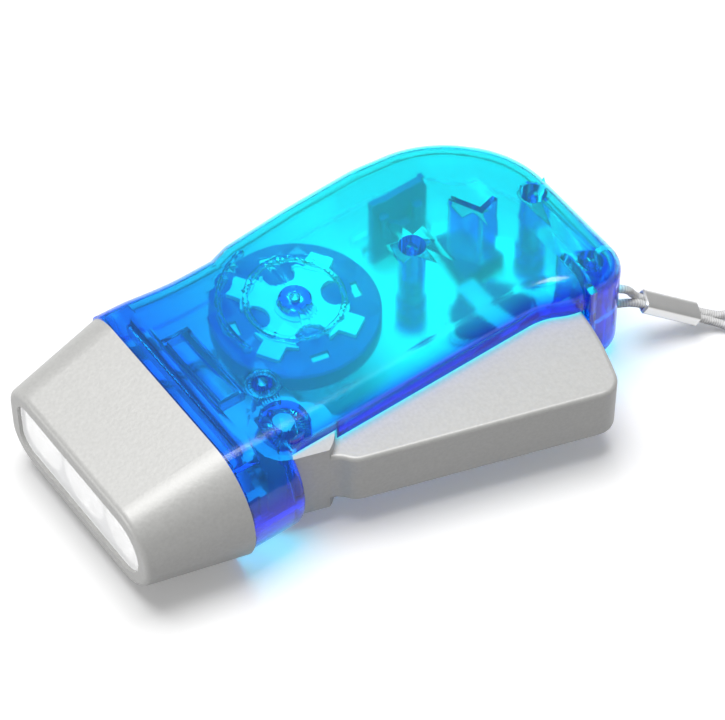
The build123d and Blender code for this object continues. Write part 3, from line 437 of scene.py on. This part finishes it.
# painted shade: deep blue that grows towards the nose
nose_ramp = compute(dye_and_painted_shade, "MULTIPLY_ADD", along_x, NOSE_SLOPE, NOSE_AT_ZERO)
nose = compute(dye_and_painted_shade, "MINIMUM", nose_ramp, NOSE_MOST)
posts_inside = compute(dye_and_painted_shade, "MULTIPLY", in_posts, inside)
dye_and_shade_share = compute(dye_and_painted_shade, "MAXIMUM", compute(dye_and_painted_shade, "MAXIMUM", posts_inside, sides), nose)
tinted = dye_and_painted_shade.nodes.new("ShaderNodeMix")
tinted.data_type = "RGBA"
dye_and_painted_shade.links.new(dye_and_shade_share, tinted.inputs["Factor"])
dye_and_painted_shade.links.new(entry.outputs["Wall"], tinted.inputs["A"])
dye_and_painted_shade.links.new(entry.outputs["Deep"], tinted.inputs["B"])
dye_and_painted_shade.links.new(tinted.outputs["Result"], leave.inputs["Color"])

shell_finish, tree, shader = new_material(
    "clear_blue", Roughness=0.13, IOR=1.46, Transmission_Weight=0.88, Coat_Weight=0.3,
    Coat_Roughness=0.03,
)
out = tree.nodes["Material Output"]
# base colour with the posts' deep tint and the painted shade on the near walls and the nose
dye_and_shade_tint = place_group(tree, dye_and_painted_shade)
tree.links.new(dye_and_shade_tint.outputs["Color"], shader.inputs["Base Color"])
dye = tree.nodes.new("ShaderNodeVolumeAbsorption")
dye.inputs["Color"].default_value = (0.3, 0.985, 1.0, 1)
dye.inputs["Density"].default_value = 600
pass_light = tree.nodes.new("ShaderNodeBsdfTransparent")
pass_light.inputs["Color"].default_value = (0.75, 0.985, 1.0, 1)
rays = tree.nodes.new("ShaderNodeLightPath")
choose = tree.nodes.new("ShaderNodeMixShader")
tree.links.new(rays.outputs["Is Shadow Ray"], choose.inputs["Fac"])
tree.links.new(shader.outputs["BSDF"], choose.inputs[1])
tree.links.new(pass_light.outputs["BSDF"], choose.inputs[2])
tree.links.new(choose.outputs["Shader"], out.inputs["Surface"])
tree.links.new(dye.outputs["Volume"], out.inputs["Volume"])

# The back wall swells a little further out than the plain shells do. The amount, in millimetres,
# goes by the place along the torch, and fades out over the inner parts. Two rib ends that stand
# proud of the rounded tail edge are drawn in to just below it.
BULGE_AT = (-33.3, -33.2, -27.5, -22.0, -17.0, -8.5, -4.5, 10.0, 24.4, 31.9, 38.0, 45.4)
BULGE = (0.0, 1.1, 1.06, 0.45, 0.15, 0.44, 0.9, 2.1, 2.64, 1.87, 1.0, 0.0)
BULGE_FROM_Y = 14.0 * MM
BULGE_FULL_Y = 26.0 * MM
BULGE_SLICES = np.arange(-33.0, 46.0, 3.0) * MM
TAIL_ROUND_X, TAIL_ROUND_Z, TAIL_RADIUS = 47.9 * MM, 21.6 * MM, 5.0 * MM
TAIL_STRAIGHT = 10.0 * MM
PROUD_BY = 0.02 * MM
SUNK_BY = 0.1 * MM
SHARP_EDGE = radians(28)


def sliced_copy(name, label, slices):
    """Merged copy of a carried-over piece, cut across X so that its long faces can bend."""
    shape = bmesh.new()
    shape.from_mesh(nodes[name].data)
    bmesh.ops.remove_doubles(shape, verts=shape.verts, dist=1e-6)
    for x in slices:
        everything = shape.verts[:] + shape.edges[:] + shape.faces[:]
        bmesh.ops.bisect_plane(shape, geom=everything, dist=1e-7, plane_co=(x, 0, 0), plane_no=(1,
        0, 0))
    mesh = bpy.data.meshes.new(label)
    shape.to_mesh(mesh)
    shape.free()
    mesh.shade_smooth()
    mesh.set_sharp_from_angle(angle=SHARP_EDGE)
    return mesh


def mesh_points(mesh):
    """The mesh's vertices as rows of x, y and z."""
    found = np.empty(len(mesh.vertices) * 3, np.float32)
    mesh.vertices.foreach_get("co", found)
    return found.reshape(-1, 3)


def add_piece(mesh, body, slot, *replaced):
    """Object at the origin for a finished mesh, riding on a body and standing for CAD nodes."""
    piece = bpy.data.objects.new(mesh.name, mesh)
    bpy.context.scene.collection.objects.link(piece)
    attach(piece, body)
    if replaced:
        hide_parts(*replaced)
    return piece


for name, label in (("upper_shell", "upper_case"), ("lower_shell", "lower_case")):
    case_mesh = sliced_copy(name, label, BULGE_SLICES)
    spots = mesh_points(case_mesh)
    share = np.clip((spots[:, 1] - BULGE_FROM_Y) / (BULGE_FULL_Y - BULGE_FROM_Y), 0, 1)
    out_by = np.interp(spots[:, 0] / MM, BULGE_AT, BULGE) * MM
    spots[:, 1] += out_by * share * share * (3 - 2 * share)
    from_x = spots[:, 0] - TAIL_ROUND_X
    from_z = spots[:, 2] - TAIL_ROUND_Z
    away = np.hypot(from_x, from_z)
    at_edge = (from_x > 0) & (from_z > 0) & (abs(spots[:, 1]) < TAIL_STRAIGHT)
    proud = at_edge & (away > TAIL_RADIUS + PROUD_BY)
    pull = np.where(proud, (TAIL_RADIUS - SUNK_BY) / np.maximum(away, 1e-9), 1.0)
    spots[:, 0] = TAIL_ROUND_X + from_x * pull
    spots[:, 2] = TAIL_ROUND_Z + from_z * pull
    case_mesh.vertices.foreach_set("co", spots.ravel())
    case_mesh.update()
    case_mesh.materials.append(shell_finish)
    case = add_piece(case_mesh, "housing", "blue_shell", name)
    # wide flat faces keep their own direction up to the roots of the bosses
    even_faces = case.modifiers.new("even_faces", "WEIGHTED_NORMAL")
    even_faces.keep_sharp = True
    even_faces.weight = 100

# ---- lens, reflector and lamps ----
# A clear polystyrene window over a vacuum-coated reflector with three white lamps, soldered to a
# small board. A trace of own light in the window stands for the bright room in the reflector.
lens_finish, tree, shader = new_material(
    "lens_clear", Base_Color=(1.0, 1.0, 1.0, 1), Roughness=0.15, IOR=1.45,
    Transmission_Weight=0.6, Emission_Color=(1.0, 1.0, 1.0, 1), Emission_Strength=0.18,
)
wear("lens", lens_finish)
mirror = grained(
    "mirror_coat", (0.93, 0.94, 0.95), grain_size=300.0, grain_tone=0.03, drift=0.03,
    roughness=0.2, bump=0.02, Metallic=0.6,
)
wear("reflector", mirror)
lamp_finish, tree, shader = new_material(
    "lamp_resin", Base_Color=(0.95, 0.96, 0.9, 1), Roughness=0.08, Transmission_Weight=0.55,
    IOR=1.5,
)
for name in ("led_near", "led_middle", "led_far"):
    wear(name, lamp_finish)
board = grained(
    "circuit_board", (0.01, 0.03, 0.30), grain_size=500.0, grain_tone=0.2, drift=0.2,
    roughness=0.4, bump=0.1,
)
wear("led_board", board)
wear("charge_board", board)

# ---- metal pieces ----
# Drawn steel axles, screws and spring, bright plated steel pressings round the coil and over the
# cell, and a dark sintered ring magnet.
steel = grained(
    "drawn_steel", (0.6, 0.6, 0.62), grain_size=700.0, grain_tone=0.1, drift=0.1, roughness=0.28,
    bump=0.05, Metallic=1.0,
)
plate = grained(
    "bright_plate", (0.88, 0.88, 0.87), grain_size=500.0, grain_tone=0.08, drift=0.12,
    roughness=0.3, bump=0.05, Metallic=0.75,
)
dark = grained(
    "dark_disc", (0.03, 0.015, 0.3), grain_size=600.0, grain_tone=0.2, drift=0.2, roughness=0.5,
    bump=0.1, Metallic=0.1,
)
for name in ("first_axle", "second_axle", "flywheel_shaft", "case_screws", "return_spring"):
    wear(name, steel)
for name in ("stator_lower", "stator_upper", "cell_clip"):
    wear(name, plate)
wear("rotor_magnet", dark)

# ---- flywheel disc ----
# A turned steel disc with a dark blue-black coat, pressed on the shaft under the white hub. Its
# face is a little higher than the plain disc's.
DISC_FACE = 20.1 * MM
DISC_RISE = 0.9 * MM
disc_mesh = sliced_copy("flywheel_disc", "turned_disc", [])
spots = mesh_points(disc_mesh)
spots[:, 2] += np.where(spots[:, 2] > DISC_FACE, DISC_RISE, 0)
disc_mesh.vertices.foreach_set("co", spots.ravel())
disc_mesh.update()
disc_mesh.materials.append(dark)
add_piece(disc_mesh, "flywheel", "dark_metal", "flywheel_disc")

# ---- packing pad ----
# A block of blue-black foam that keeps the cell from rattling. It stands on the floor of the lower
# shell beside the cell, which has a sleeve of the same tone.
PAD_CORNERS = np.array([(34.6, 10.8), (44.6, 11.4), (43.4, 21.6), (36.6, 22.6)]) * MM
PAD_LOW = 2.0 * MM
PAD_HIGH = 6.4 * MM
PAD_ROUND = 0.5 * MM
PAD_SIDE_POINTS = 12
pad_middle = PAD_CORNERS.mean(0)
# height of each level, and how far its edge is drawn in, as a share of the rounding
pad_levels = [
    (PAD_LOW, 0.0),
    (PAD_HIGH - PAD_ROUND, 0.0),
    (PAD_HIGH - 0.3 * PAD_ROUND, 0.3),
    (PAD_HIGH, 1.0),
]
pad_share = np.linspace(0, 1, PAD_SIDE_POINTS, endpoint=False)[:, None]
pad_sides = zip(PAD_CORNERS, np.roll(PAD_CORNERS, -1, axis=0))
pad_walk = np.concatenate([start + (end - start) * pad_share for start, end in pad_sides])
pad_out = pad_walk - pad_middle
pad_out /= np.linalg.norm(pad_out, axis=1)[:, None]
pad_rows = np.stack(
    [
        np.column_stack([pad_walk - pad_out * PAD_ROUND * inset, np.full(len(pad_walk), z)])
        for z, inset in pad_levels
    ]
)
pad_mesh = grid_mesh("packing_pad", pad_rows)
foam = grained(
    "black_foam", (0.04, 0.01, 0.2), grain_size=700.0, grain_tone=0.4, drift=0.1, roughness=0.9,
    bump=0.5,
)
pad_mesh.materials.append(foam)
add_piece(pad_mesh, "housing", "magnet")
wear("button_cell", foam)

# ---- crimped sleeve ----
# A flat tube of bright plated brass, pressed round the two strands, with rolled ends.
SLEEVE_START = np.array((56.6, -14.7, 10.2)) * MM
SLEEVE_END = np.array((66.4, -19.4, 3.9)) * MM
SLEEVE_OUTER = (2.3 * MM, 1.4 * MM)
SLEEVE_INNER = (1.75 * MM, 0.9 * MM)
SLEEVE_SIDES = 48
SLEEVE_ROLL = 0.25 * MM
sleeve_way = (SLEEVE_END - SLEEVE_START) / np.linalg.norm(SLEEVE_END - SLEEVE_START)
sleeve_level = np.cross((0, 0, 1), sleeve_way)
sleeve_level /= np.linalg.norm(sleeve_level)
sleeve_up = np.cross(sleeve_way, sleeve_level)


def sleeve_ring(place, half_wide, half_thick):
    """Flat oval across the sleeve: a superellipse of power four."""
    angle = np.linspace(0, 2 * pi, SLEEVE_SIDES, endpoint=False)
    x = np.sign(np.cos(angle)) * np.sqrt(abs(np.cos(angle))) * half_wide
    y = np.sign(np.sin(angle)) * np.sqrt(abs(np.sin(angle))) * half_thick
    return place + x[:, None] * sleeve_level + y[:, None] * sleeve_up


sleeve_length = np.linalg.norm(SLEEVE_END - SLEEVE_START)
# distance along, half sizes, and what is added to them, from the inner mouth round and back to it
sleeve_stations = [
    (0.0, SLEEVE_INNER, 0.0),
    (0.0, SLEEVE_OUTER, -SLEEVE_ROLL),
    (SLEEVE_ROLL, SLEEVE_OUTER, 0.0),
    (sleeve_length * 0.33, SLEEVE_OUTER, 0.0),
    (sleeve_length * 0.66, SLEEVE_OUTER, 0.0),
    (sleeve_length - SLEEVE_ROLL, SLEEVE_OUTER, 0.0),
    (sleeve_length, SLEEVE_OUTER, -SLEEVE_ROLL),
    (sleeve_length, SLEEVE_INNER, 0.0),
    (sleeve_length * 0.5, SLEEVE_INNER, 0.0),
    (0.0, SLEEVE_INNER, 0.0),
]
sleeve_rows = np.stack(
    [
        sleeve_ring(SLEEVE_START + sleeve_way * reach, wide + extra, thick + extra)
        for reach, (wide, thick), extra in sleeve_stations
    ]
)
sleeve_mesh = grid_mesh("crimped_sleeve", sleeve_rows, caps=False)
seam = bmesh.new()
seam.from_mesh(sleeve_mesh)
bmesh.ops.remove_doubles(seam, verts=seam.verts, dist=1e-7)
bmesh.ops.recalc_face_normals(seam, faces=seam.faces)
seam.to_mesh(sleeve_mesh)
seam.free()
sleeve_mesh.set_sharp_from_angle(angle=radians(40))
sleeve_mesh.materials.append(plate)
sleeve = add_piece(sleeve_mesh, "housing", "plated_steel", "lanyard_ferrule")

# ---- gears, hub, coil and leads ----
# Gears, hub and bobbin are moulded in white acetal. The coil is enamelled copper wire, and the
# leads have coloured insulation.
acetal = grained(
    "white_acetal", (0.82, 0.82, 0.79), grain_size=400.0, grain_tone=0.04, drift=0.06,
    roughness=0.4, bump=0.05,
)
for name in (
    "flywheel_hub", "sector_gear", "first_gear", "second_gear", "drive_pinion", "ratchet_crown",
    "coil_bobbin",
):
    wear(name, acetal)
copper = grained(
    "enamelled_copper", (0.55, 0.2, 0.07), grain_size=800.0, grain_tone=0.2, drift=0.1,
    roughness=0.3, bump=0.2, Metallic=0.8,
)
wear("coil_winding", copper)
insulation = grained(
    "wire_insulation", (0.5, 0.02, 0.02), grain_size=500.0, grain_tone=0.05, drift=0.05,
    roughness=0.35, bump=0.05,
)
wear("lead_wires", insulation)

# ---- floor and light ----
# A white table under a large soft lamp overhead and behind, so that tops are bright and the sides
# that face the viewer are darker. The table looks white but gives back less light than it seems to.
FLOOR_HALF = 4.0
FLOOR_TURN = ((-1, -1), (1, -1), (1, 1), (-1, 1))
floor_corners = [(x * FLOOR_HALF, y * FLOOR_HALF, 0) for x, y in FLOOR_TURN]
floor_mesh = bpy.data.meshes.new("table_top")
floor_mesh.from_pydata(floor_corners, [], [(0, 1, 2, 3)])
floor = bpy.data.objects.new("table_top", floor_mesh)
bpy.context.scene.collection.objects.link(floor)
floor_finish, tree, shader = new_material(
    "white_table", Base_Color=(0.95, 0.95, 0.95, 1), Roughness=0.9,
)
shader.inputs["Specular IOR Level"].default_value = 0.0
shader.inputs["Emission Color"].default_value = (1, 1, 1, 1)
shader.inputs["Emission Strength"].default_value = 0.18
dull = tree.nodes.new("ShaderNodeBsdfDiffuse")
dull.inputs["Color"].default_value = (0.25, 0.25, 0.26, 1)
rays = tree.nodes.new("ShaderNodeLightPath")
seen = rays.outputs["Is Camera Ray"]
for kind in ("Is Glossy Ray", "Is Transmission Ray"):
    seen = compute(tree, "MAXIMUM", seen, rays.outputs[kind])
choose = tree.nodes.new("ShaderNodeMixShader")
tree.links.new(seen, choose.inputs["Fac"])
tree.links.new(dull.outputs["BSDF"], choose.inputs[1])
tree.links.new(shader.outputs["BSDF"], choose.inputs[2])
tree.links.new(choose.outputs["Shader"], tree.nodes["Material Output"].inputs["Surface"])
floor_mesh.materials.append(floor_finish)


def soft_lamp(name, place, aim, size, watts):
    """Square-cornered area lamp at a place, turned to shine at a point."""
    data = bpy.data.lights.new(name, "AREA")
    data.shape = "RECTANGLE"
    data.size, data.size_y = size
    data.energy = watts
    lamp = bpy.data.objects.new(name, data)
    lamp.location = place
    way = Vector(aim) - Vector(place)
    lamp.rotation_euler = way.to_track_quat("-Z", "Y").to_euler()
    bpy.context.scene.collection.objects.link(lamp)


soft_lamp("overhead", place=(-0.02, 0.17, 1.2), aim=(0, 0, 0), size=(0.8, 0.7), watts=12.5)
soft_lamp("lens_light", place=(-1.1, 0.3, 0.10), aim=(-0.05, 0, 0.0135), size=(0.5, 0.2), watts=2.5)
world = bpy.data.worlds.new("room")
world.use_nodes = True
surround = world.node_tree.nodes["Background"]
surround.inputs["Color"].default_value = (1, 1, 1, 1)
surround.inputs["Strength"].default_value = 0.25
bpy.context.scene.world = world
bpy.context.scene.view_settings.view_transform = "Standard"
